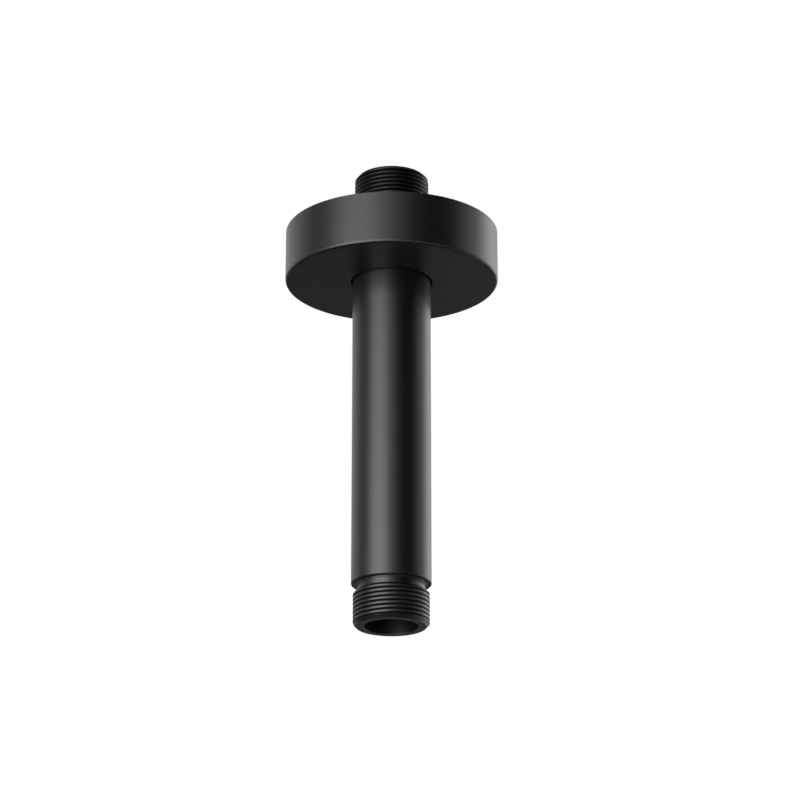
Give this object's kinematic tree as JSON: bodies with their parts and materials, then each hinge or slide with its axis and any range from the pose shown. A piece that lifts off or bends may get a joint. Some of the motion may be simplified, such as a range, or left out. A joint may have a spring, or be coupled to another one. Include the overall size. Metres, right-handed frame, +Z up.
{
  "type": "shower arm",
  "caption": "Straight ceiling shower arm: a pipe with a male thread at each end, and a round cover flange that slides and turns on it.",
  "frame": {"origin": "on the pipe's axis, at the ceiling, which is the plane of the flange's upper edge", "axes": "+Z up along the pipe into the ceiling; the outlet is towards -Z; the part is round about Z"},
  "size_m": [0.06, 0.06, 0.1325],
  "materials": {
    "black_coating": "satin",
    "black_rubber": "matte"
  },
  "bodies": {
    "arm": {"arm_tube": "black_coating"},
    "grip_ring": {"flange_o_ring": "black_rubber"},
    "flange": {"ceiling_flange": "black_coating"}
  },
  "joints": [
    {"name": "flange_slide", "type": "slide", "parent": "arm", "child": "grip_ring", "axis": [0, 0, -1], "range_m": [0, 0.0885]},
    {"name": "flange_turn", "type": "hinge", "parent": "grip_ring", "child": "flange", "pos_m": [0, 0, -0.0115], "axis": [0, 0, 1], "continuous": true}
  ]
}
